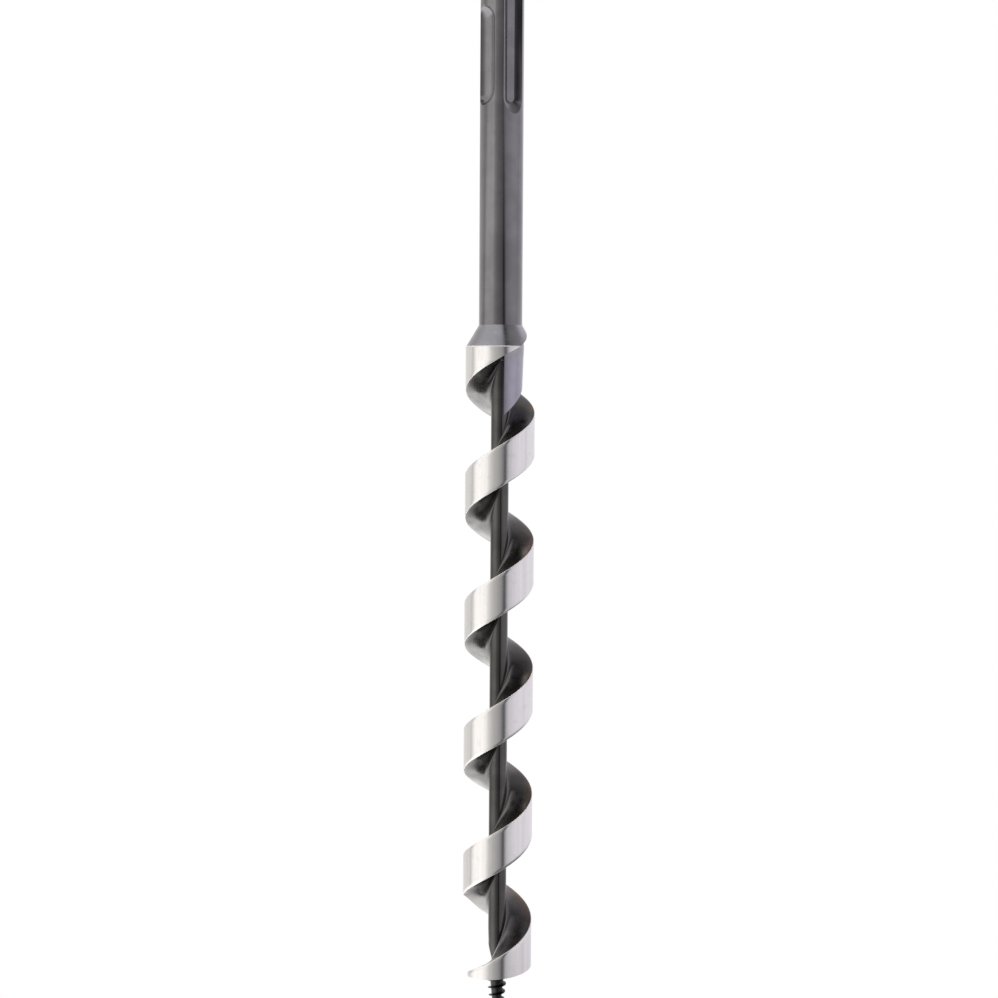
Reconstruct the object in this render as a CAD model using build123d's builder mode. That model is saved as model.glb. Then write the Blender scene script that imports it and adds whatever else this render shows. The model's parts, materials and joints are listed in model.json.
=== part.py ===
"""Wood auger bit, 16 mm: one right-hand flight around a solid stem, slotted hammer shank.

Origin at the centre of the shank's end face, +Z out of that face, tip pointing down.
All lengths in mm. Angles named phi are measured about +Z from the -Y side towards +X.
"""
import os
from math import cos, radians, sin

from build123d import *

os.makedirs("parts", exist_ok=True)

# overall
total_length = 250.0
shank_r = 5.0
cut_r = 8.0

# shank
shank_bottom = -83.5
end_chamfer = 1.0
slot_length = 34.5
slot_floor = 3.4
slot_floor_half = 1.0
slot_mouth_half = 2.55
slot_phi = 35.0
detent_top = -11.1
detent_bottom = -33.6
detent_ball_r = 3.5
detent_centre = 6.03
detent_phi = slot_phi - 90.0

# cone and neck
cone_bottom = -88.55
collar_bottom = -91.66
neck_r_top = 5.45
neck_r_bottom = 4.6

# helical flight, measured on the turn whose upper edge crosses phi 0 at flight_zero
pitch = 29.48
land_width = 9.67
flute_width = pitch - land_width
flight_zero = -110.9
root_fillet = 1.1
land_chamfer = 0.12
stem_r = 2.07
stem_tip_r = 1.8
wall_phi = 10.0
groove_height = 5.9
groove_end_phi = 150.0
run_out_lead = 26.3
cut_end_phi = 235.0

# cutting head
turns_down = 4
lip_phi = -57.6
rise_phi = -22.0
lip_lead = 22.5
heel_phi = 88.0
head_phi = 125.0
heel_pitch = 42.0
heel_depth = 1.5
relief_point = (0, 0, -233.05)
relief_normal = (-0.085, -0.095, 1.0)
trim_point = (-8.0, 0, -215.77)
trim_normal = (1.037, 0.158, 1.0)
gullet_top = -226.0
gullet_bottom = -232.3
gullet_turn = -15.0

# feed screw
screw_top = -234.0
screw_core_r = 1.75
thread_pitch = 1.8
thread_bottom = -247.7
thread_length = 13.3
thread_root_tip = 0.3
thread_taper = 6.0
thread_depth = 0.75


def radial_plane(phi, z):
    """Plane holding the axis at angle phi: local x runs outwards, local y runs up."""
    angle = radians(phi - 90)
    return Plane(origin=(0, 0, z), x_dir=(cos(angle), sin(angle), 0),
                 z_dir=(sin(angle), -cos(angle), 0))


def axial_plane(phi, z):
    """Plane across the axis at height z, with its local x at angle phi."""
    angle = radians(phi - 90)
    return Plane(origin=(0, 0, z), x_dir=(cos(angle), sin(angle), 0), z_dir=(0, 0, 1))


def screw_path(phi, z, turn, lead=pitch):
    """Right-hand helix from angle phi and height z, rising over turn degrees at half depth."""
    with BuildLine() as path:
        Helix(lead, lead * turn / 360, (stem_r + cut_r) / 2, center=(0, 0, z))
    return path.line.rotate(Axis.Z, phi - 90)


def edge_height(phi):
    """Height of the flight's upper edge at unwrapped angle phi."""
    return flight_zero + pitch * phi / 360


# shank with two open drive slots and two closed detent grooves, a quarter turn apart
with BuildPart() as drive_shank:
    with BuildSketch(Plane.XY.offset(shank_bottom)):
        Circle(shank_r)
    extrude(amount=-shank_bottom)
    chamfer(drive_shank.edges().sort_by(Axis.Z)[-1], end_chamfer)
    for side in (0, 180):
        slot_end = -slot_length + slot_mouth_half
        with BuildSketch(axial_plane(slot_phi + side, 0)):
            with BuildLine():
                Polyline((slot_floor, -slot_floor_half), (slot_floor, slot_floor_half),
                         (slot_floor + 1.8, slot_mouth_half + 1.55),
                         (slot_floor + 1.8, -slot_mouth_half - 1.55),
                         (slot_floor, -slot_floor_half))
            make_face()
        extrude(amount=slot_end, mode=Mode.SUBTRACT)
        with BuildSketch(radial_plane(slot_phi + side, slot_end)):
            with BuildLine():
                Polyline((slot_floor, 0), (slot_floor, slot_floor_half),
                         (slot_floor + 1.8, slot_mouth_half + 1.55), (slot_floor + 1.8, 0),
                         (slot_floor, 0))
            make_face()
        spoke = radial_plane(slot_phi + side, slot_end)
        revolve(axis=Axis(spoke.origin, spoke.x_dir), mode=Mode.SUBTRACT)
        groove_half = (detent_ball_r**2 - (detent_centre - shank_r)**2) ** 0.5
        with Locations(axial_plane(detent_phi + side, (detent_top + detent_bottom) / 2)):
            with Locations((detent_centre, 0)):
                Cylinder(detent_ball_r, detent_top - detent_bottom - 2 * groove_half,
                         mode=Mode.SUBTRACT)
                with Locations((0, 0, (detent_top - detent_bottom) / 2 - groove_half),
                               (0, 0, groove_half - (detent_top - detent_bottom) / 2)):
                    Sphere(detent_ball_r, mode=Mode.SUBTRACT)
drive_shank.part.label = "drive_shank"

# deep flute at full depth, ending in an upright wall at wall_phi
deep_start = -60.0
with BuildPart() as deep_flute:
    with BuildSketch(radial_plane(deep_start, edge_height(deep_start))):
        with BuildLine():
            Polyline((stem_r, root_fillet), (stem_r, flute_width - root_fillet))
            RadiusArc((stem_r, flute_width - root_fillet),
                      (stem_r + root_fillet, flute_width), root_fillet)
            Polyline((stem_r + root_fillet, flute_width), (cut_r + 1, flute_width),
                     (cut_r + 1, 0), (stem_r + root_fillet, 0))
            RadiusArc((stem_r + root_fillet, 0), (stem_r, root_fillet), root_fillet)
        make_face()
    path = screw_path(deep_start, edge_height(deep_start) + flute_width / 2, wall_phi - deep_start)
    sweep(path=path, is_frenet=True)

# shallow flute above the neck, from the wall round to the back
with BuildPart() as shallow_flute:
    with BuildSketch(radial_plane(wall_phi, edge_height(wall_phi))):
        with Locations((4.0, 0)):
            Rectangle(cut_r - 3.0, flute_width, align=(Align.MIN, Align.MIN))
    path = screw_path(wall_phi, edge_height(wall_phi) + flute_width / 2, cut_end_phi - wall_phi,
                      run_out_lead)
    sweep(path=path, is_frenet=True)

# collar: cone from the shank to the full diameter, cut by both flutes
with BuildPart() as shoulder_collar:
    with BuildSketch(Plane.XZ):
        with BuildLine():
            Polyline((0, shank_bottom), (shank_r, shank_bottom), (cut_r, cone_bottom),
                     (cut_r, collar_bottom), (0, collar_bottom), (0, shank_bottom))
        make_face()
    revolve(axis=Axis.Z)
    add(shallow_flute.part, mode=Mode.SUBTRACT)
    with BuildSketch(Plane.XZ):
        with BuildLine():
            Polyline((0, shank_bottom), (shank_r, shank_bottom), (neck_r_top, cone_bottom),
                     (neck_r_top - 0.15, collar_bottom), (0, collar_bottom), (0, shank_bottom))
        make_face()
    revolve(axis=Axis.Z)
    add(deep_flute.part, mode=Mode.SUBTRACT)
shoulder_collar.part.label = "shoulder_collar"

# deep groove that runs on under the neck, beside the flight's upper face
with BuildPart() as neck_groove:
    with BuildSketch(radial_plane(wall_phi - 15, edge_height(wall_phi - 15))):
        with Locations((stem_r - 0.5, groove_height)):
            Rectangle(cut_r, groove_height + 0.6, align=(Align.MIN, Align.MAX))
    path = screw_path(wall_phi - 15, edge_height(wall_phi - 15) + groove_height / 2,
                      groove_end_phi - wall_phi + 15)
    sweep(path=path, is_frenet=True)

# neck: thick tapered root that fills the flute from the wall round to the back
with BuildPart() as neck_root:
    with BuildSketch(radial_plane(wall_phi, edge_height(wall_phi))):
        with BuildLine():
            Polyline((stem_r, root_fillet), (stem_r, flute_width - root_fillet))
            RadiusArc((stem_r, flute_width - root_fillet),
                      (stem_r + root_fillet, flute_width), root_fillet)
            Polyline((stem_r + root_fillet, flute_width), (cut_r, flute_width),
                     (cut_r, 0), (stem_r + root_fillet, 0))
            RadiusArc((stem_r + root_fillet, 0), (stem_r, root_fillet), root_fillet)
        make_face()
    path = screw_path(wall_phi, edge_height(wall_phi) + flute_width / 2, cut_end_phi - wall_phi)
    sweep(path=path, is_frenet=True)
    with Locations((0, 0, collar_bottom)):
        Box(40, 40, 40, align=(Align.CENTER, Align.CENTER, Align.MIN), mode=Mode.SUBTRACT)
    with BuildSketch(radial_plane(-90, 0)):
        with BuildLine():
            Polyline((neck_r_top - 0.15, collar_bottom), (cut_r + 1, collar_bottom + 1),
                     (cut_r + 1, edge_height(0) - 1), (neck_r_bottom, edge_height(0) - 1),
                     (neck_r_top - 0.15, collar_bottom))
        make_face()
    revolve(axis=Axis.Z, mode=Mode.SUBTRACT)
    add(neck_groove.part, mode=Mode.SUBTRACT)
neck_root.part.label = "neck_root"

# flight: one helical ridge from the collar to the cutting head
head_split = head_phi - 360 * turns_down
top_phi = 40.0
with BuildPart() as spiral_flight:
    with BuildSketch(radial_plane(head_phi, edge_height(head_split))):
        with BuildLine():
            Polyline((stem_r, root_fillet), (stem_r, -land_width - root_fillet))
            RadiusArc((stem_r, -land_width - root_fillet),
                      (stem_r + root_fillet, -land_width), root_fillet)
            Polyline((stem_r + root_fillet, -land_width), (cut_r - land_chamfer, -land_width),
                     (cut_r, land_chamfer - land_width), (cut_r, -land_chamfer),
                     (cut_r - land_chamfer, 0), (stem_r + root_fillet, 0))
            RadiusArc((stem_r + root_fillet, 0), (stem_r, root_fillet), root_fillet)
        make_face()
    path = screw_path(head_phi, edge_height(head_split) - land_width / 2, top_phi + 360 - head_split)
    sweep(path=path, is_frenet=True)
    with Locations((0, 0, collar_bottom)):
        Box(40, 40, 60, align=(Align.CENTER, Align.CENTER, Align.MIN), mode=Mode.SUBTRACT)
    with Locations(Plane(origin=trim_point, x_dir=(0, 1, 0), z_dir=trim_normal)):
        with Locations((2.0, -3.0)):
            Box(16, 8.5, 3, align=(Align.CENTER, Align.CENTER, Align.MAX), mode=Mode.SUBTRACT)
spiral_flight.part.label = "spiral_flight"

# gullet ground into the left of the stem above the cutting lip
with BuildPart() as gullet:
    with BuildSketch(Plane.XZ.rotated((0, 0, gullet_turn))):
        with BuildLine():
            Polyline((-2.3, gullet_top), (-0.2, gullet_bottom), (-4.0, gullet_bottom),
                     (-4.0, gullet_top), (-2.3, gullet_top))
        make_face()
    extrude(amount=4.0, both=True)

# stem: solid centre of the twist body, tapering over the cutting head
taper_top = edge_height(-360 * turns_down + 60)
with BuildPart() as centre_stem:
    with BuildSketch(Plane.XZ):
        with BuildLine():
            Polyline((0, collar_bottom), (stem_r, collar_bottom), (stem_r, taper_top),
                     (stem_tip_r, screw_top), (0, screw_top), (0, collar_bottom))
        make_face()
    revolve(axis=Axis.Z)
    add(gullet.part, mode=Mode.SUBTRACT)
centre_stem.part.label = "centre_stem"

# heel: ramp under the head that rises to meet the flight's lower face
rise_height = edge_height(rise_phi - 360 * turns_down)
lip_height = rise_height - lip_lead * (rise_phi - lip_phi) / 360
heel_height = edge_height(heel_phi - 360 * turns_down) - land_width - heel_depth
with BuildPart() as heel_ramp:
    with BuildSketch(radial_plane(heel_phi, heel_height)):
        with Locations((stem_r - 0.5, 0)):
            Rectangle(cut_r, 12, align=(Align.MIN, Align.MAX))
    path = screw_path(heel_phi, heel_height - 6, head_phi + 20 - heel_phi, heel_pitch)
    sweep(path=path, is_frenet=True)

# cutting head: last part turn, its lip lying flatter, relieved underneath behind the lip
with BuildPart() as cutting_head:
    with BuildSketch(radial_plane(rise_phi, rise_height)):
        with BuildLine():
            Polyline((stem_r, root_fillet), (stem_r, -land_width - 6), (cut_r, -land_width - 6),
                     (cut_r, -land_chamfer), (cut_r - land_chamfer, 0), (stem_r + root_fillet, 0))
            RadiusArc((stem_r + root_fillet, 0), (stem_r, root_fillet), root_fillet)
        make_face()
    path = screw_path(rise_phi, rise_height - land_width / 2 - 3, head_phi - rise_phi)
    sweep(path=path, is_frenet=True)
    with BuildSketch(radial_plane(lip_phi, lip_height)):
        with BuildLine():
            Polyline((stem_r, root_fillet), (stem_r, -8), (cut_r, -8),
                     (cut_r, -land_chamfer), (cut_r - land_chamfer, 0), (stem_r + root_fillet, 0))
            RadiusArc((stem_r + root_fillet, 0), (stem_r, root_fillet), root_fillet)
        make_face()
    path = screw_path(lip_phi, lip_height - 4, rise_phi - lip_phi, lip_lead)
    sweep(path=path, is_frenet=True)
    with Locations(Plane(origin=relief_point, x_dir=(0, 1, 0), z_dir=relief_normal)):
        Box(40, 40, 20, align=(Align.CENTER, Align.CENTER, Align.MAX), mode=Mode.SUBTRACT)
    add(heel_ramp.part, mode=Mode.SUBTRACT)
    add(gullet.part, mode=Mode.SUBTRACT)
cutting_head.part.label = "cutting_head"

# feed screw: tapered lead point with a single right-hand thread
with BuildPart() as feed_screw:
    with BuildSketch(Plane.XZ):
        with BuildLine():
            Polyline((0, screw_top), (screw_core_r, screw_top), (0.12, -total_length),
                     (0, -total_length), (0, screw_top))
        make_face()
    revolve(axis=Axis.Z)
    with BuildLine(Plane.XY.offset(thread_bottom)) as path:
        Helix(thread_pitch, thread_length, thread_root_tip, cone_angle=thread_taper)
    with BuildSketch(Plane(origin=path.line @ 0, x_dir=(1, 0, 0), z_dir=(0, -1, 0))):
        with BuildLine():
            Polyline((-0.3, -0.5), (thread_depth, 0), (-0.3, 0.5), (-0.3, -0.5))
        make_face()
    sweep(path=path.line, is_frenet=True)
feed_screw.part.label = "feed_screw"

for node in (drive_shank, shoulder_collar, neck_root, centre_stem, spiral_flight,
             cutting_head, feed_screw):
    export_step(node.part, f"parts/{node.part.label}.step")
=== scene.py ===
"""Studio scene of a 16 mm wood auger bit hung upright, screw point down.

Lengths are in metres. Angles named phi are in degrees about +Z, from the -Y side towards +X,
and run on past a full turn along the flight.
"""

import json
import logging
import math
from dataclasses import dataclass, field
from enum import Enum

import bmesh
import bpy
from mathutils import Matrix, Vector

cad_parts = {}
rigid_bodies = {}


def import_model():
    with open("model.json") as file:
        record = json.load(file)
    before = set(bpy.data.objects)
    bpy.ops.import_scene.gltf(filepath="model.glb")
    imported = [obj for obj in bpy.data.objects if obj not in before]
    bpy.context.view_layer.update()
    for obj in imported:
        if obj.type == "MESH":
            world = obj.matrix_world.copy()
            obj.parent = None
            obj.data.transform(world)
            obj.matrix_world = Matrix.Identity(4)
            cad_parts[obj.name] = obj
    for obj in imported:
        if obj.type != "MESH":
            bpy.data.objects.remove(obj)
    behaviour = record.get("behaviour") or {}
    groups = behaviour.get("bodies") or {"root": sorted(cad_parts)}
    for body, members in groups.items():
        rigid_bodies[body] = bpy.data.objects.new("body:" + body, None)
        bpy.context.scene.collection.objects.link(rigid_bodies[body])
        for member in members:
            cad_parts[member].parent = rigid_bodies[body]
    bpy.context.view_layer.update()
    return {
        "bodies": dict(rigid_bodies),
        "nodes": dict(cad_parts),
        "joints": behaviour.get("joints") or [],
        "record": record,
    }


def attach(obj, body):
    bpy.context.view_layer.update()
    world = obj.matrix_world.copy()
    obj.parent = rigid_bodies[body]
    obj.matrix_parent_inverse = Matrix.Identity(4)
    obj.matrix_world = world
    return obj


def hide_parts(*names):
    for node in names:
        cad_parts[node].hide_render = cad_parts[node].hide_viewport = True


LOG = logging.getLogger("auger_bit")
MM = 0.001
WELD = 1e-7
SMOOTH_ANGLE = 28
HEAD_TURNS = 4 * 360.0
BLOTCH_SCALE = 140.0
SPECK_SCALE = 1400.0
CHATTER_SCALE = 420.0
GRAIN_HEIGHT = 0.02 * MM
OIL_ROUGHNESS = 0.12
OIL_IOR = 1.7
LAND_METAL = 0.88
# Painted highlight: a bright, rough band on the chamfer at the land's outer edge.
EDGE_HIGHLIGHT_COLOUR = (0.95, 0.94, 0.94)
EDGE_HIGHLIGHT_ROUGHNESS = 0.75
# Painted brownish reflection on faces that look up, towards the outer edge.
PAINTED_BROWN_REFLECTION = (0.17, 0.125, 0.105)
LIGHT_STRENGTH = 2.0
WHITE = (1.0, 1.0, 1.0)

Colour = tuple[float, float, float]
Point = tuple[float, float]


class Grain(Enum):
    """How machining marks run, as the pattern's scale in x, y and z."""

    ALONG_BIT = (1.0, 1.0, 0.025)
    AROUND_BIT = (0.1, 0.1, 1.0)
    EVEN = (1.0, 1.0, 1.0)


def grey(value: float, warm: float = 0.0) -> Colour:
    """Make a near-neutral linear colour.

    Args:
        value: the brightness.
        warm: how far red is raised and blue lowered, as a share.

    Returns:
        The colour.
    """
    return (value * (1 + warm), value, value * (1 - warm))


class NodeGraph:
    """Short calls for building a material's or world's shader nodes."""

    def __init__(self, tree: bpy.types.NodeTree) -> None:
        """Take over a node tree and empty it."""
        self.tree = tree
        tree.nodes.clear()

    def add(self, kind: str, **settings: object) -> bpy.types.Node:
        """Add a node.

        Args:
            kind: the node's type.
            settings: its properties.

        Returns:
            The new node.
        """
        node = self.tree.nodes.new(kind)
        for name, value in settings.items():
            setattr(node, name, value)
        return node

    def feed(self, socket: bpy.types.NodeSocket, value: object) -> None:
        """Link a socket to another socket, or give it a constant.

        Args:
            socket: the input to feed.
            value: an output socket, a colour or a number.
        """
        if isinstance(value, bpy.types.NodeSocket):
            self.tree.links.new(value, socket)
        elif isinstance(value, tuple) and len(socket.default_value) == 4:
            socket.default_value = (*value, 1.0)
        else:
            socket.default_value = value

    def math(self, operation: str, *values: object) -> bpy.types.NodeSocket:
        """Do one sum.

        Args:
            operation: the sum's name.
            values: numbers or sockets.

        Returns:
            The socket with the result.
        """
        node = self.add("ShaderNodeMath", operation=operation)
        for socket, value in zip(node.inputs, values):
            self.feed(socket, value)
        return node.outputs[0]

    def ramp(self, value: object, stops: list[tuple[float, Colour]]) -> bpy.types.NodeSocket:
        """Turn a number into a colour by stops.

        Args:
            value: the number or socket.
            stops: positions from 0 to 1 with their colours.

        Returns:
            The colour socket.
        """
        node = self.add("ShaderNodeValToRGB")
        band = node.color_ramp
        while len(band.elements) < len(stops):
            band.elements.new(1.0)
        for element, (place, colour) in zip(band.elements, stops):
            element.position = place
            element.color = (*colour, 1.0)
        self.feed(node.inputs[0], value)
        return node.outputs[0]

    def spread(self, value: object, low: float, high: float, to_low: float = 0.0,
               to_high: float = 1.0) -> bpy.types.NodeSocket:
        """Map a number from one range to another, clamped and smooth.

        Args:
            value: the number or socket.
            low: where the first range starts.
            high: where it ends.
            to_low: where the second range starts.
            to_high: where it ends.

        Returns:
            The socket with the result.
        """
        node = self.add("ShaderNodeMapRange", interpolation_type="SMOOTHSTEP")
        for socket, number in zip(node.inputs, (value, low, high, to_low, to_high)):
            self.feed(socket, number)
        return node.outputs[0]

    def noise(self, place: object, scale: float, detail: float = 4.0,
              roughness: float = 0.55) -> bpy.types.NodeSocket:
        """Make soft cloud noise.

        Args:
            place: the coordinates.
            scale: how fine it is.
            detail: how many finer layers it has.
            roughness: how strong the finer layers are.

        Returns:
            The noise's socket, from 0 to 1.
        """
        node = self.add("ShaderNodeTexNoise")
        self.feed(node.inputs["Vector"], place)
        self.feed(node.inputs["Scale"], scale)
        self.feed(node.inputs["Detail"], detail)
        self.feed(node.inputs["Roughness"], roughness)
        return node.outputs[0]

    def mix(self, share: object, first: object, second: object) -> bpy.types.NodeSocket:
        """Mix two colours.

        Args:
            share: how much of the second, from 0 to 1.
            first: a colour or socket.
            second: a colour or socket.

        Returns:
            The colour socket.
        """
        node = self.add("ShaderNodeMix", data_type="RGBA")
        self.feed(node.inputs["Factor"], share)
        self.feed(node.inputs[6], first)
        self.feed(node.inputs[7], second)
        return node.outputs[2]

    def blend(self, share: object, first: object, second: object) -> bpy.types.NodeSocket:
        """Mix two numbers.

        Args:
            share: how much of the second, from 0 to 1.
            first: a number or socket.
            second: a number or socket.

        Returns:
            The number's socket.
        """
        node = self.add("ShaderNodeMix", data_type="FLOAT")
        for socket, value in zip(node.inputs, (share, None, first, second)):
            if value is not None:
                self.feed(socket, value)
        return node.outputs[0]


@dataclass(frozen=True)
class SteelFinish:
    """One steel finish, which may have a ground land with a painted edge highlight, painted shade
    towards the root and, on faces that look up, painted shade with a painted brownish reflection.

    Attributes:
        name: the material's name.
        colour: base colour of the steel.
        roughness: mean roughness.
        grain: direction of the machining marks.
        grain_depth: bump strength of the marks.
        grain_scale: how fine the marks are.
        wear: how far blotches change the brightness.
        oil: weight of the thin oil film over the steel.
        root_shade_colour: painted shade colour towards the stem, in the root of the flute, or None
            where it stays the same.
        upper_shade_colour: painted shade colour of faces that look up, or None where it stays the
            same.
        land_radius: where the ground land begins, or 0 for none.
        land_colour: base colour of the ground land.
        land_roughness: mean roughness of the ground land.
    """

    name: str
    colour: Colour
    roughness: float
    grain: Grain = Grain.EVEN
    grain_depth: float = 0.1
    grain_scale: float = 900.0
    wear: float = 0.15
    oil: float = 0.0
    root_shade_colour: Colour | None = None
    upper_shade_colour: Colour | None = None
    land_radius: float = 0.0
    land_colour: Colour = (0.77, 0.76, 0.755)
    land_roughness: float = 0.14

    def build(self) -> bpy.types.Material:
        """Make the material from procedural nodes.

        Returns:
            The material.
        """
        material = bpy.data.materials.new(self.name)
        material.use_nodes = True
        graph = NodeGraph(material.node_tree)
        place = graph.add("ShaderNodeTexCoord").outputs["Object"]
        marks = self.marks(graph, place, self.grain)
        blotch = graph.noise(place, BLOTCH_SCALE, 5.0, 0.6)
        speck = graph.noise(place, SPECK_SCALE, 3.0, 0.6)
        low = tuple(c * (1 - self.wear) for c in self.colour)
        high = tuple(min(c * (1 + self.wear), 1.0) for c in self.colour)
        colour = graph.mix(graph.spread(blotch, 0.35, 0.65), low, high)
        worn = tuple(min(c * 1.8, 0.9) for c in self.colour)
        colour = graph.mix(graph.spread(speck, 0.66, 0.8, 0.0, 0.6), colour, worn)
        rough = graph.spread(marks, 0.3, 0.7, self.roughness * 0.75, self.roughness * 1.25)
        radius = self.radius(graph, place)
        # Painted shade: faces that look up are given a darker colour, with random tone in it.
        if self.upper_shade_colour:
            normal = graph.add("ShaderNodeSeparateXYZ")
            graph.feed(normal.inputs[0], graph.add("ShaderNodeNewGeometry").outputs["Normal"])
            looks_up = graph.spread(normal.outputs[2], 0.05, 0.3)
            upper_shade_mix = graph.mix(graph.spread(blotch, 0.35, 0.65), self.upper_shade_colour,
                              tuple(c * 1.45 for c in self.upper_shade_colour))
            # Painted brownish reflection: patches towards the outer edge of faces that look up.
            brown_reflection_share = graph.math("MULTIPLY", graph.spread(radius, 5.2 * MM, 7.7 * MM),
                                graph.spread(blotch, 0.42, 0.6))
            upper_shade_mix = graph.mix(brown_reflection_share, upper_shade_mix, PAINTED_BROWN_REFLECTION)
            colour = graph.mix(looks_up, colour, upper_shade_mix)
        # Painted shade: darker towards the stem, where the flute's root lies in shade.
        if self.root_shade_colour:
            root_shade_share = graph.spread(radius, 2.1 * MM, 3.1 * MM)
            colour = graph.mix(root_shade_share, self.root_shade_colour, colour)
        shader = graph.add("ShaderNodeBsdfPrincipled")
        graph.feed(shader.inputs["Metallic"], 1.0)
        if self.land_radius:
            on_land = graph.spread(radius, self.land_radius - 0.03 * MM, self.land_radius)
            colour, rough = self.grind(graph, place, radius, on_land, colour, rough)
            graph.feed(shader.inputs["Metallic"], graph.blend(on_land, 1.0, LAND_METAL))
        graph.feed(shader.inputs["Coat Weight"], self.oil)
        graph.feed(shader.inputs["Coat Roughness"], OIL_ROUGHNESS)
        graph.feed(shader.inputs["Coat IOR"], OIL_IOR)
        graph.feed(shader.inputs["Base Color"], colour)
        graph.feed(shader.inputs["Roughness"], rough)
        bump = graph.add("ShaderNodeBump")
        graph.feed(bump.inputs["Strength"], self.grain_depth)
        graph.feed(bump.inputs["Distance"], GRAIN_HEIGHT)
        graph.feed(bump.inputs["Height"], marks)
        graph.feed(shader.inputs["Normal"], bump.outputs[0])
        output = graph.add("ShaderNodeOutputMaterial")
        graph.feed(output.inputs[0], shader.outputs[0])
        return material

    def marks(self, graph: NodeGraph, place: bpy.types.NodeSocket,
              grain: Grain) -> bpy.types.NodeSocket:
        """Make machining marks that run with the grain.

        Args:
            graph: the material's nodes.
            place: object coordinates.
            grain: how the marks run.

        Returns:
            The marks' socket, from 0 to 1.
        """
        drawn = graph.add("ShaderNodeMapping")
        graph.feed(drawn.inputs["Vector"], place)
        drawn.inputs["Scale"].default_value = grain.value
        return graph.noise(drawn.outputs[0], self.grain_scale, 6.0, 0.7)

    @staticmethod
    def radius(graph: NodeGraph, place: bpy.types.NodeSocket) -> bpy.types.NodeSocket:
        """Work out the distance from the bit's axis.

        Args:
            graph: the material's nodes.
            place: object coordinates.

        Returns:
            The distance's socket.
        """
        split = graph.add("ShaderNodeSeparateXYZ")
        graph.feed(split.inputs[0], place)
        x, y = split.outputs[0], split.outputs[1]
        squares = graph.math("ADD", graph.math("MULTIPLY", x, x), graph.math("MULTIPLY", y, y))
        return graph.math("SQRT", squares)

    def grind(self, graph: NodeGraph, place: bpy.types.NodeSocket,
              radius: bpy.types.NodeSocket, on_land: bpy.types.NodeSocket,
              colour: bpy.types.NodeSocket, rough: bpy.types.NodeSocket) -> tuple:
        """Lay the bright ground finish over the outer land, with a painted highlight on its edge
        chamfer.

        Args:
            graph: the material's nodes.
            place: object coordinates.
            radius: distance from the axis.
            on_land: 1 on the land and 0 inside it.
            colour: the finish of the faces inside the land.
            rough: their roughness.

        Returns:
            The colour and roughness of the whole piece.
        """
        streaks = self.marks(graph, place, Grain.ALONG_BIT)
        chatter = graph.noise(place, CHATTER_SCALE, 5.0, 0.7)
        dull = tuple(c * 0.93 for c in self.land_colour)
        bright = graph.mix(graph.spread(streaks, 0.35, 0.62), dull, self.land_colour)
        shaded = graph.mix(graph.spread(chatter, 0.52, 0.72, 0.0, 0.35), bright,
                           tuple(c * 0.72 for c in self.land_colour))
        land_rough = graph.spread(streaks, 0.3, 0.7, self.land_roughness * 0.8,
                                  self.land_roughness * 1.2)
        # Painted highlight: the chamfer just inside the land's outer face is given a bright colour
        # and high roughness.
        edge_highlight = graph.spread(radius, self.land_radius + 0.1 * MM, self.land_radius + 0.108 * MM,
                            1.0, 0.0)
        shaded = graph.mix(edge_highlight, shaded, EDGE_HIGHLIGHT_COLOUR)
        land_rough = graph.blend(edge_highlight, land_rough, EDGE_HIGHLIGHT_ROUGHNESS)
        return graph.mix(on_land, colour, shaded), graph.blend(on_land, rough, land_rough)


LAND_START = 7.885 * MM
SHANK_FINISH = SteelFinish("satin_shank", (0.15, 0.147, 0.156), 0.15, Grain.ALONG_BIT, 0.05,
                           1500.0, 0.12, 0.5)
COLLAR_FINISH = SteelFinish("turned_collar", (0.31, 0.305, 0.33), 0.2, Grain.AROUND_BIT, 0.09,
                            2500.0, 0.12, land_radius=LAND_START)
NECK_FINISH = SteelFinish("milled_neck", (0.31, 0.3, 0.35), 0.22, Grain.ALONG_BIT, 0.05, 1500.0,
                          0.08)
STEM_FINISH = SteelFinish("oxide_stem", grey(0.08, 0.03), 0.18, Grain.ALONG_BIT, 0.1, 1500.0)
# The flight and the head carry painted shade on faces that look up; the flight also towards the
# stem.
FLIGHT_FINISH = SteelFinish("oxide_flight", grey(0.22, 0.02), 0.24, Grain.EVEN, 0.1, 700.0, 0.25,
                            root_shade_colour=grey(0.1, 0.02), upper_shade_colour=(0.1, 0.095, 0.095),
                            land_radius=LAND_START)
HEAD_FINISH = SteelFinish("ground_head", grey(0.5), 0.34, Grain.ALONG_BIT, 0.03, 700.0, 0.08,
                          upper_shade_colour=(0.1, 0.095, 0.1), land_radius=LAND_START)
SCREW_FINISH = SteelFinish("black_screw", grey(0.045), 0.3, Grain.AROUND_BIT, 0.15, 2500.0)


def spoke(phi: float) -> Vector:
    """Unit vector across the axis at angle phi."""
    turn = math.radians(phi)
    return Vector((math.sin(turn), -math.cos(turn), 0.0))


def profile(points: list[Point], phi: float, height: float = 0.0) -> bmesh.types.BMesh:
    """Draw one flat face in the plane that holds the axis at angle phi.

    Args:
        points: distance from the axis and height of each corner, in millimetres.
        phi: the plane's angle.
        height: added to each corner's height, in millimetres.

    Returns:
        A new bmesh with that one face.
    """
    shape = bmesh.new()
    out = spoke(phi)
    corners = [shape.verts.new(out * r * MM + Vector((0, 0, (z + height) * MM)))
               for r, z in points]
    shape.faces.new(corners)
    return shape


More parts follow.
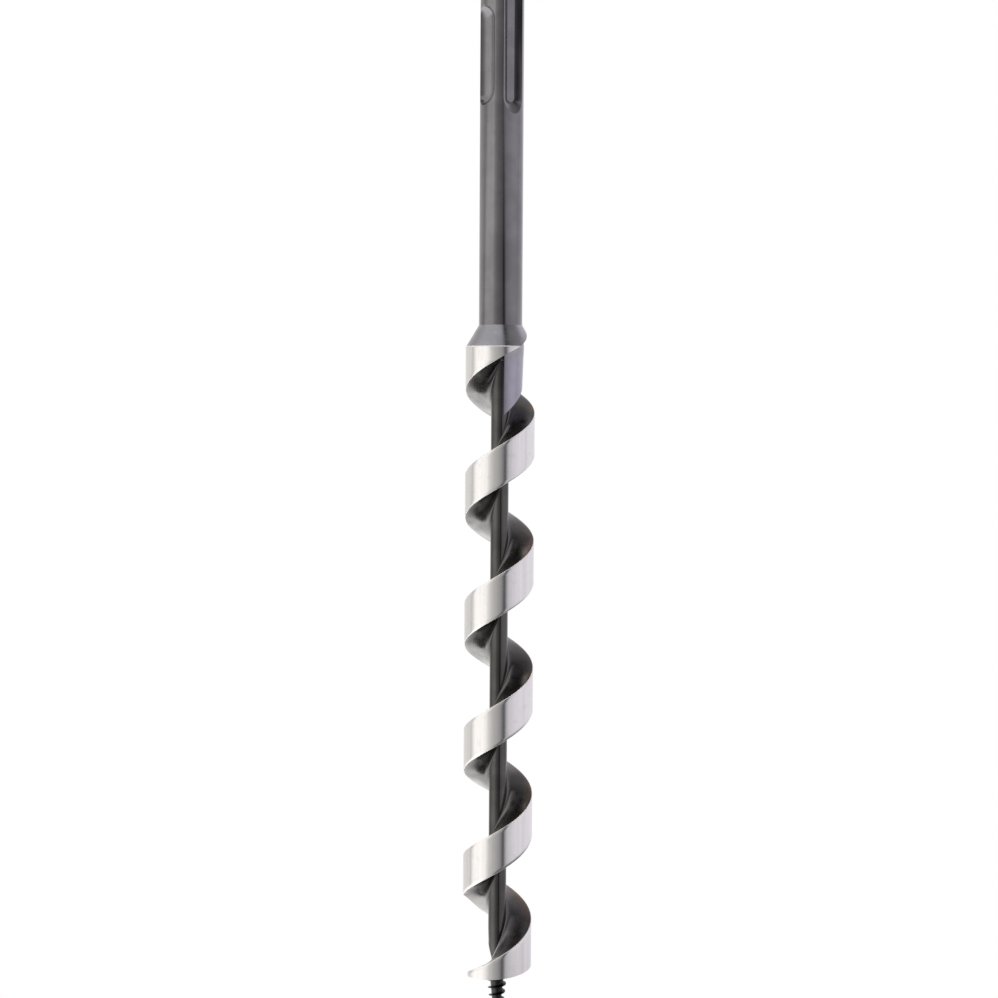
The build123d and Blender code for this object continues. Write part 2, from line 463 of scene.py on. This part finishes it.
def round_corners(shape: bmesh.types.BMesh, corners: list[Point], size: float,
                  steps: int) -> None:
    """Round corners of a profile.

    Args:
        shape: the profile.
        corners: distance from the axis and height of each corner, in millimetres.
        size: how far along its edges each corner is cut, in millimetres.
        steps: how many segments the arc has.
    """
    found = [v for v in shape.verts for r, z in corners
             if abs(v.co.xy.length - r * MM) < 1e-6 and abs(v.co.z - z * MM) < 1e-6]
    bmesh.ops.bevel(shape, geom=found, offset=size * MM, offset_type="OFFSET",
                    affect="VERTICES", segments=steps, profile=0.5, material=-1)


def divide(shape: bmesh.types.BMesh, longest: float) -> None:
    """Divide a profile's long edges.

    Args:
        shape: the profile.
        longest: the longest edge allowed, in millimetres.
    """
    for edge in list(shape.edges):
        cuts = math.ceil(edge.calc_length() / (longest * MM)) - 1
        if cuts > 0:
            bmesh.ops.subdivide_edges(shape, edges=[edge], cuts=cuts)


def screw_sweep(shape: bmesh.types.BMesh, turn: float, lead: float,
                step: float = 4.0) -> bmesh.types.BMesh:
    """Sweep a profile up a right-hand helix into a closed solid.

    Args:
        shape: the profile, which becomes the solid.
        turn: how far it turns, in degrees.
        lead: the rise in one full turn, in millimetres.
        step: about how many degrees each step turns.

    Returns:
        The same bmesh.
    """
    steps = math.ceil(turn / step)
    start = list(shape.faces)
    bmesh.ops.spin(shape, geom=list(shape.verts) + list(shape.edges) + start, cent=(0, 0, 0),
                   axis=(0, 0, 1), dvec=(0, 0, lead * MM * turn / 360 / steps),
                   angle=math.radians(turn), steps=steps, use_merge=False,
                   use_normal_flip=False, use_duplicate=False)
    bmesh.ops.holes_fill(shape, edges=[e for e in shape.edges if e.is_boundary], sides=0)
    bmesh.ops.remove_doubles(shape, verts=list(shape.verts), dist=1e-8)
    bmesh.ops.recalc_face_normals(shape, faces=list(shape.faces))
    return shape


def half_space(point: tuple, normal: tuple, reach: float = 40.0,
               depth: float = 20.0) -> bmesh.types.BMesh:
    """Make a block whose top face lies on a plane, with the rest below it.

    Args:
        point: a point of the plane, in millimetres.
        normal: the plane's normal.
        reach: the top face's side, in millimetres.
        depth: the block's thickness, in millimetres.

    Returns:
        A new bmesh.
    """
    shape = bmesh.new()
    up = Vector(normal).to_track_quat("Z", "Y").to_matrix().to_4x4()
    size = Matrix.Diagonal((reach * MM, reach * MM, depth * MM, 1.0))
    move = Matrix.Translation(Vector(point) * MM)
    sink = Matrix.Translation((0, 0, -depth * MM / 2))
    bmesh.ops.create_cube(shape, size=1.0, matrix=move @ up @ sink @ size)
    return shape


def to_object(shape: bmesh.types.BMesh, name: str) -> bpy.types.Object:
    """Turn a bmesh into an object in the scene and free the bmesh.

    Args:
        shape: the bmesh.
        name: the object's name.

    Returns:
        The object.
    """
    mesh = bpy.data.meshes.new(name)
    shape.to_mesh(mesh)
    shape.free()
    piece = bpy.data.objects.new(name, mesh)
    bpy.context.scene.collection.objects.link(piece)
    return piece


def combine(body: bmesh.types.BMesh, others: list[bmesh.types.BMesh],
            operation: str = "DIFFERENCE") -> bmesh.types.BMesh:
    """Cut closed shapes out of a closed shape, or join them to it.

    Args:
        body: the shape to work on, which is freed.
        others: the other shapes, which are freed.
        operation: DIFFERENCE or UNION.

    Returns:
        A new bmesh.
    """
    base = to_object(body, "work")
    tools = [to_object(other, "tool") for other in others]
    for tool in tools:
        cut = base.modifiers.new("cut", "BOOLEAN")
        cut.operation = operation
        cut.solver = "EXACT"
        cut.object = tool
    graph = bpy.context.evaluated_depsgraph_get()
    mesh = bpy.data.meshes.new_from_object(base.evaluated_get(graph))
    result = bmesh.new()
    result.from_mesh(mesh)
    bpy.data.meshes.remove(mesh)
    for piece in [base, *tools]:
        data = piece.data
        bpy.data.objects.remove(piece)
        bpy.data.meshes.remove(data)
    return result


@dataclass
class Piece:
    """A finished piece of the bit that stands for one CAD node.

    Attributes:
        node: the CAD node it stands for.
        slot: the record's material slot; not used.
        finish: its finish.
    """

    node: str
    slot: str
    finish: SteelFinish

    def shape(self) -> bmesh.types.BMesh:
        """Build the piece's solid."""
        raise NotImplementedError

    def place(self, material: bpy.types.Material) -> bpy.types.Object:
        """Build, smooth, dress and mount the piece.

        Args:
            material: its built finish.

        Returns:
            The new object.
        """
        shape = self.shape()
        bmesh.ops.remove_doubles(shape, verts=list(shape.verts), dist=WELD)
        bmesh.ops.dissolve_degenerate(shape, edges=list(shape.edges), dist=WELD)
        piece = to_object(shape, f"{self.node}_visual")
        piece.data.shade_smooth()
        piece.data.set_sharp_from_angle(angle=math.radians(SMOOTH_ANGLE))
        piece.data.materials.append(material)
        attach(piece, "root")
        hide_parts(self.node)
        LOG.info("built %s with %d faces", piece.name, len(piece.data.polygons))
        return piece


@dataclass
class Twist:
    """Sizes that the flight and the cutting head share, in millimetres and degrees."""

    pitch: float = 29.48
    land: float = 9.67
    zero: float = -110.9
    cut_r: float = 8.0
    stem_r: float = 2.07
    inner_r: float = 1.6
    fillet: float = 1.1
    chamfer: float = 0.12
    collar_bottom: float = -91.66
    head_phi: float = 125.0 - HEAD_TURNS
    lip_phi: float = -57.6 - HEAD_TURNS

    def edge(self, phi: float) -> float:
        """Height of the flight's upper edge at angle phi."""
        return self.zero + self.pitch * phi / 360


@dataclass
class Flight(Twist, Piece):
    """The helical ridge from the collar down to the cutting head."""

    top_phi: float = 400.0
    trim_point: tuple = (-8.0, 0.0, -215.77)
    trim_normal: tuple = (1.037, 0.158, 1.0)
    trim_size: tuple = (16, 8.5, 3)
    trim_shift: tuple = (2.0, -3.0, -1.5)

    def shape(self) -> bmesh.types.BMesh:
        """Sweep the ridge, cut it level at the collar and trim its lower left corner."""
        low = -self.land
        section = profile([(self.inner_r, self.fillet), (self.stem_r, self.fillet),
                           (self.stem_r, 0), (self.cut_r, 0), (self.cut_r, low),
                           (self.stem_r, low), (self.stem_r, low - self.fillet),
                           (self.inner_r, low - self.fillet)],
                          self.head_phi, self.edge(self.head_phi))
        top = self.edge(self.head_phi)
        round_corners(section, [(self.stem_r, top), (self.stem_r, top + low)],
                      self.fillet * 0.98, 7)
        round_corners(section, [(self.cut_r, top), (self.cut_r, top + low)], self.chamfer, 2)
        divide(section, 0.8)
        screw_sweep(section, self.top_phi - self.head_phi, self.pitch)
        above = half_space((0, 0, self.collar_bottom), (0, 0, -1), 40.0, 60.0)
        up = Vector(self.trim_normal).normalized()
        along = Vector((0, 1, 0))
        along = (along - up * along.dot(up)).normalized()
        across = up.cross(along)
        frame = Matrix((along, across, up)).transposed().to_4x4()
        corner = bmesh.new()
        move = Matrix.Translation(Vector(self.trim_point) * MM)
        local = Matrix.Translation(Vector(self.trim_shift) * MM)
        size = Matrix.Diagonal((*(side * MM for side in self.trim_size), 1.0))
        bmesh.ops.create_cube(corner, size=1.0, matrix=move @ frame @ local @ size)
        return combine(section, [above, corner])


@dataclass
class CuttingHead(Twist, Piece):
    """The last part turn, relieved underneath behind the cutting lip."""

    relief_point: tuple = (0.0, 0.0, -233.05)
    relief_normal: tuple = (-0.085, -0.095, 1.0)
    rise_phi: float = -22.0 - HEAD_TURNS
    lip_lead: float = 22.5
    heel_phi: float = 88.0
    heel_lead: float = 42.0
    heel_depth: float = 1.5
    gullet_turn: float = -15.0
    gullet: tuple = ((-2.3, -226.0), (-0.2, -232.3), (-4.0, -232.3), (-4.0, -226.0))

    def shape(self) -> bmesh.types.BMesh:
        """Sweep the head, then cut its relief, its heel and the gullet above the lip."""
        section = profile([(self.inner_r, self.fillet), (self.stem_r, self.fillet),
                           (self.stem_r, 0), (self.cut_r, 0), (self.cut_r, -self.land - 6),
                           (self.inner_r, -self.land - 6)],
                          self.lip_phi, self.edge(self.lip_phi))
        top = self.edge(self.lip_phi)
        round_corners(section, [(self.stem_r, top)], self.fillet * 0.98, 7)
        round_corners(section, [(self.cut_r, top)], self.chamfer, 2)
        divide(section, 0.8)
        screw_sweep(section, self.head_phi - self.lip_phi, self.pitch)
        self.lift_lip(section)
        relief = half_space(self.relief_point, self.relief_normal)
        heel_start = self.heel_phi - HEAD_TURNS
        heel_top = self.edge(heel_start) - self.land - self.heel_depth
        heel = profile([(1.2, 0), (self.cut_r + 1.5, 0), (self.cut_r + 1.5, -12), (1.2, -12)],
                       heel_start, heel_top)
        screw_sweep(heel, self.head_phi + 20 - heel_start, self.heel_lead)
        return combine(section, [relief, heel, self.gullet_wedge()])

    def lift_lip(self, shape: bmesh.types.BMesh) -> None:
        """Flatten the rise of the last stretch, so that the lip stands higher at its end.

        Args:
            shape: the swept head, whose points are moved.
        """
        start = self.edge(self.lip_phi)
        for vert in shape.verts:
            phi = math.degrees(math.atan2(vert.co.x, -vert.co.y)) - HEAD_TURNS
            if self.lip_phi - 5 < phi < self.rise_phi and vert.co.z < (start + 4.5) * MM:
                vert.co.z += (self.rise_phi - phi) / 360 * (self.pitch - self.lip_lead) * MM

    def gullet_wedge(self) -> bmesh.types.BMesh:
        """Make the wedge that the gullet is ground with."""
        wedge = bmesh.new()
        turn = Matrix.Rotation(math.radians(self.gullet_turn), 4, "Z")
        corners = [wedge.verts.new(turn @ Vector((x * MM, -4 * MM, z * MM)))
                   for x, z in self.gullet]
        face = wedge.faces.new(corners)
        grown = bmesh.ops.extrude_face_region(wedge, geom=[face])
        moved = [v for v in grown["geom"] if isinstance(v, bmesh.types.BMVert)]
        bmesh.ops.translate(wedge, vec=turn @ Vector((0, 8 * MM, 0)), verts=moved)
        bmesh.ops.recalc_face_normals(wedge, faces=list(wedge.faces))
        return wedge


@dataclass
class FeedScrew(Piece):
    """The tapered lead point with a single right-hand thread, in millimetres."""

    top: float = -234.0
    tip: float = -250.0
    core_r: float = 1.75
    tip_r: float = 0.12
    pitch: float = 1.8
    bottom: float = -247.7
    length: float = 13.3
    root_tip: float = 0.3
    taper: float = 6.0
    depth: float = 0.75

    def shape(self) -> bmesh.types.BMesh:
        """Turn the core and join the thread to it."""
        core = bmesh.new()
        height = self.top - self.tip
        middle = Matrix.Translation((0, 0, (self.top + self.tip) / 2 * MM))
        bmesh.ops.create_cone(core, cap_ends=True, segments=64, radius1=self.tip_r * MM,
                              radius2=self.core_r * MM, depth=height * MM, matrix=middle)
        thread = profile([(0.7, -0.5), (1.0 + self.depth, -0.05), (1.0 + self.depth, 0.05),
                          (0.7, 0.5)], 90.0, self.bottom)
        divide(thread, 0.4)
        screw_sweep(thread, 360 * self.length / self.pitch, self.pitch, 6.0)
        slope = math.tan(math.radians(self.taper))
        for vert in thread.verts:
            radius = vert.co.xy.length
            root = (self.root_tip + slope * (vert.co.z / MM - self.bottom)) * MM
            fade = min(max((vert.co.z / MM - self.bottom + 0.6) / 2.0, 0.25), 1.0)
            wanted = root + (radius - 1.0 * MM) * (fade if radius > 1.0 * MM else 1.0)
            scale = max(wanted, 0.02 * MM) / radius
            vert.co.x *= scale
            vert.co.y *= scale
        return combine(core, [thread], "UNION")


@dataclass
class Shank(Piece):
    """The round shank with two open drive slots and two closed detent grooves, in millimetres."""

    radius: float = 5.0
    bottom: float = -83.5
    end_chamfer: float = 1.0
    slot_length: float = 34.5
    slot_floor: float = 3.4
    slot_floor_half: float = 1.0
    slot_mouth_half: float = 2.55
    slot_phi: float = 35.0
    groove_phi: float = -55.0
    groove_ball: float = 3.5
    groove_centre: float = 6.03
    groove_ends: tuple = (-11.1, -33.6)
    edge_break: float = 0.1

    def shape(self) -> bmesh.types.BMesh:
        """Turn the bar, mill the slots and grooves and break their edges."""
        bar = bmesh.new()
        bmesh.ops.create_cone(bar, cap_ends=True, segments=120, radius1=self.radius * MM,
                              radius2=self.radius * MM, depth=-self.bottom * MM,
                              matrix=Matrix.Translation((0, 0, self.bottom / 2 * MM)))
        rim = [e for e in bar.edges if all(v.co.z > -1e-6 for v in e.verts)]
        bmesh.ops.bevel(bar, geom=rim, offset=self.end_chamfer * MM, offset_type="OFFSET",
                        affect="EDGES", segments=1, profile=0.5, material=-1)
        cutters = []
        for side in (0, 180):
            cutters += [self.slot_cutter(self.slot_phi + side),
                        self.groove_cutter(self.groove_phi + side)]
        milled = combine(bar, cutters)
        bmesh.ops.remove_doubles(milled, verts=list(milled.verts), dist=WELD)
        crease = [e for e in milled.edges if len(e.link_faces) == 2
                  and 0.35 < e.calc_face_angle(0.0) and e.verts[0].co.z < -1.5 * MM
                  and e.verts[0].co.z > (self.bottom + 1) * MM
                  and e.is_convex and min(v.co.xy.length for v in e.verts) > 4.8 * MM]
        bmesh.ops.bevel(milled, geom=crease, offset=self.edge_break * MM, offset_type="OFFSET",
                        affect="EDGES", segments=2, profile=0.5, material=-1, clamp_overlap=True)
        return milled

    def slot_cutter(self, phi: float) -> bmesh.types.BMesh:
        """Make the shape of one open drive slot with its rounded run-out.

        Args:
            phi: the slot's angle.

        Returns:
            A new bmesh.
        """
        reach = 1.8
        flare = self.slot_mouth_half + 1.55
        out, side = spoke(phi), spoke(phi + 90)
        end = (-self.slot_length + self.slot_mouth_half) * MM
        turn = Matrix((side, Vector((0, 0, 1)), -out)).transposed().to_4x4()
        middle = out * (self.slot_floor + reach / 2) * MM + Vector((0, 0, end))
        cutter = bmesh.new()
        bmesh.ops.create_cone(cutter, cap_ends=True, segments=64, radius1=flare * MM,
                              radius2=self.slot_floor_half * MM, depth=reach * MM,
                              matrix=Matrix.Translation(middle) @ turn)
        bmesh.ops.recalc_face_normals(cutter, faces=list(cutter.faces))
        run = bmesh.new()
        whole = [(self.slot_floor, -self.slot_floor_half), (self.slot_floor, self.slot_floor_half),
                 (self.slot_floor + reach, flare), (self.slot_floor + reach, -flare)]
        face = run.faces.new([run.verts.new(out * u * MM + side * v * MM + Vector((0, 0, end)))
                              for u, v in whole])
        grown = bmesh.ops.extrude_face_region(run, geom=[face])
        moved = [v for v in grown["geom"] if isinstance(v, bmesh.types.BMVert)]
        bmesh.ops.translate(run, vec=(0, 0, 2 * MM - end), verts=moved)
        bmesh.ops.recalc_face_normals(run, faces=list(run.faces))
        return combine(run, [cutter], "UNION")

    def groove_cutter(self, phi: float) -> bmesh.types.BMesh:
        """Make the long round-ended shape of one closed detent groove.

        Args:
            phi: the groove's angle.

        Returns:
            A new bmesh.
        """
        cutter = bmesh.new()
        bmesh.ops.create_uvsphere(cutter, u_segments=64, v_segments=33,
                                  radius=self.groove_ball * MM)
        upper, lower = self.groove_ends
        drop = math.sqrt(self.groove_ball**2 - (self.groove_centre - self.radius) ** 2)
        middle = (upper + lower) / 2
        stretch = ((upper - lower) / 2 - drop) * MM
        for vert in cutter.verts:
            if abs(vert.co.z) > 1e-7:
                vert.co.z += math.copysign(stretch, vert.co.z)
        bmesh.ops.translate(cutter, verts=list(cutter.verts),
                            vec=spoke(phi) * self.groove_centre * MM
                            + Vector((0, 0, middle * MM)))
        return cutter


@dataclass
class PlainNodes:
    """CAD nodes whose shape is kept, each with its finish.

    Attributes:
        finishes: node name to its finish.
    """

    finishes: dict[str, SteelFinish] = field(default_factory=lambda: {
        "shoulder_collar": COLLAR_FINISH, "neck_root": NECK_FINISH, "centre_stem": STEM_FINISH})

    def dress(self, nodes: dict[str, bpy.types.Object], built: dict) -> None:
        """Give each node its material.

        Args:
            nodes: node name to its object.
            built: finish name to its material.
        """
        for name, finish in self.finishes.items():
            materials = nodes[name].data.materials
            materials.clear()
            materials.append(built[finish.name])
            LOG.info("dressed %s in %s", name, finish.name)


@dataclass
class Studio:
    """Floor, surrounding light and camera.

    Attributes:
        aside: how far the camera stands to the right of the bit's axis.
        distance: camera to the bit's axis.
        height: camera height.
        tilt: degrees that the camera looks down.
        roll: degrees that the bit leans in the view.
        lens: focal length on a 36 mm sensor.
        floor_height: the floor, just under the screw point.
        floor_half: half the floor's side.
    """

    aside: float = -0.13 * MM
    distance: float = 474.7 * MM
    height: float = -100.17 * MM
    tilt: float = 2.817
    roll: float = 0.34
    lens: float = 74.18
    floor_height: float = -251.0 * MM
    floor_half: float = 6.0

    def aim_camera(self) -> None:
        """Create the camera and make it the scene's."""
        data = bpy.data.cameras.new("view")
        data.lens = self.lens
        data.sensor_width = 36.0
        camera = bpy.data.objects.new("view", data)
        bpy.context.scene.collection.objects.link(camera)
        place = Matrix.Translation(Vector((self.aside, -self.distance, self.height)))
        turn = Matrix.Rotation(math.radians(90 - self.tilt), 4, "X")
        lean = Matrix.Rotation(math.radians(self.roll), 4, "Z")
        camera.matrix_world = place @ turn @ lean
        bpy.context.scene.camera = camera

    def light(self) -> None:
        """Light the bit with a dome of soft boxes round the sides, bright below on the left."""
        world = bpy.data.worlds.new("studio")
        bpy.context.scene.world = world
        world.use_nodes = True
        graph = NodeGraph(world.node_tree)
        direction = graph.add("ShaderNodeTexCoord").outputs["Generated"]
        split = graph.add("ShaderNodeSeparateXYZ")
        graph.feed(split.inputs[0], direction)
        x, y, z = split.outputs
        around = graph.math("ARCTAN2", x, graph.math("MULTIPLY", y, -1.0))
        share = graph.math("MULTIPLY_ADD", around, 1 / math.tau, 0.5)
        box = graph.ramp(share, [((a + 180) / 360, c) for a, c in self.softboxes()])
        low = graph.ramp(share, [((a + 180) / 360, c) for a, c in self.table_glow()])
        over = graph.ramp(share, [((a + 180) / 360, c) for a, c in self.upper_glow()])
        sides = graph.mix(graph.spread(z, -0.5, -0.2), low, box)
        upper = graph.mix(graph.spread(z, 0.5, 0.75), sides, over)
        whole = graph.mix(graph.spread(z, 0.9, 0.97), upper, grey(0.15))
        surround = graph.add("ShaderNodeBackground")
        graph.feed(surround.inputs[0], whole)
        graph.feed(surround.inputs[1], LIGHT_STRENGTH)
        white = graph.add("ShaderNodeBackground")
        graph.feed(white.inputs[0], WHITE)
        seen = graph.add("ShaderNodeLightPath").outputs["Is Camera Ray"]
        chosen = graph.add("ShaderNodeMixShader")
        for socket, value in zip(chosen.inputs, (seen, surround.outputs[0], white.outputs[0])):
            graph.feed(socket, value)
        output = graph.add("ShaderNodeOutputWorld")
        graph.feed(output.inputs[0], chosen.outputs[0])

    @staticmethod
    def softboxes() -> list[tuple[float, Colour]]:
        """List the dome's brightness by bearing, 0 towards the camera and 90 to the right."""
        warm, cool = (1.03, 1.0, 0.97), (1.02, 0.985, 1.05)
        bearings = [(-180, 0.9), (-160, 0.88), (-110, 0.86), (-104, 0.66), (-98, 0.86),
                    (-91, 1.15), (-84, 1.34), (-55, 1.36), (-42, 1.24), (-36, 1.0), (-28, 0.74),
                    (-18, 0.56), (-4, 0.44), (6, 0.34), (12, 0.22), (15, 0.07), (20, 0.07),
                    (25, 0.4), (29, 0.62), (38, 0.76), (54, 0.88), (66, 0.95), (88, 0.95),
                    (95, 0.84), (101, 0.9), (108, 0.98), (160, 0.92), (180, 0.9)]
        return [(a, tuple(v / 2 * h for h in (warm if a < 0 else cool))) for a, v in bearings]

    @staticmethod
    def upper_glow() -> list[tuple[float, Colour]]:
        """List the brightness high round the bit by bearing."""
        bearings = [(-180, 0.8), (-90, 1.15), (-30, 1.1), (0, 0.9), (16, 0.62), (24, 0.08),
                    (36, 0.1), (50, 0.3), (70, 0.4), (120, 0.55), (180, 0.8)]
        return [(a, grey(v / 2)) for a, v in bearings]

    @staticmethod
    def table_glow() -> list[tuple[float, Colour]]:
        """List the brightness below the bit by bearing: bright on the left, dark on the right."""
        bearings = [(-180, 1.4), (-150, 1.9), (-60, 1.9), (-25, 0.9), (5, 0.12), (150, 0.12),
                    (180, 1.4)]
        return [(a, grey(v / 2, 0.01)) for a, v in bearings]

    def build_floor(self) -> bpy.types.Object:
        """Lay a plain white floor that runs back out of sight."""
        shape = bmesh.new()
        bmesh.ops.create_grid(shape, x_segments=1, y_segments=1, size=self.floor_half,
                              matrix=Matrix.Translation((0, 0, self.floor_height)))
        floor = to_object(shape, "floor")
        material = bpy.data.materials.new("white_floor")
        material.use_nodes = True
        graph = NodeGraph(material.node_tree)
        glow = graph.add("ShaderNodeEmission")
        graph.feed(glow.inputs[0], WHITE)
        output = graph.add("ShaderNodeOutputMaterial")
        graph.feed(output.inputs[0], glow.outputs[0])
        floor.data.materials.append(material)
        floor.visible_glossy = False
        floor.visible_diffuse = False
        return floor


def main() -> None:
    """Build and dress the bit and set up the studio."""
    logging.basicConfig(level=logging.INFO, format="%(name)s: %(message)s")
    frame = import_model()
    finishes = (SHANK_FINISH, COLLAR_FINISH, NECK_FINISH, STEM_FINISH, FLIGHT_FINISH, HEAD_FINISH,
                SCREW_FINISH)
    built = {finish.name: finish.build() for finish in finishes}
    pieces = (Shank("drive_shank", "shank_steel", SHANK_FINISH),
              Flight("spiral_flight", "land_steel", FLIGHT_FINISH),
              CuttingHead("cutting_head", "head_steel", HEAD_FINISH),
              FeedScrew("feed_screw", "screw_steel", SCREW_FINISH))
    for piece in pieces:
        piece.place(built[piece.finish.name])
    PlainNodes().dress(frame["nodes"], built)
    studio = Studio()
    studio.aim_camera()
    studio.light()
    studio.build_floor()
    bpy.context.scene.view_settings.view_transform = "Standard"


if __name__ == "__main__":
    main()
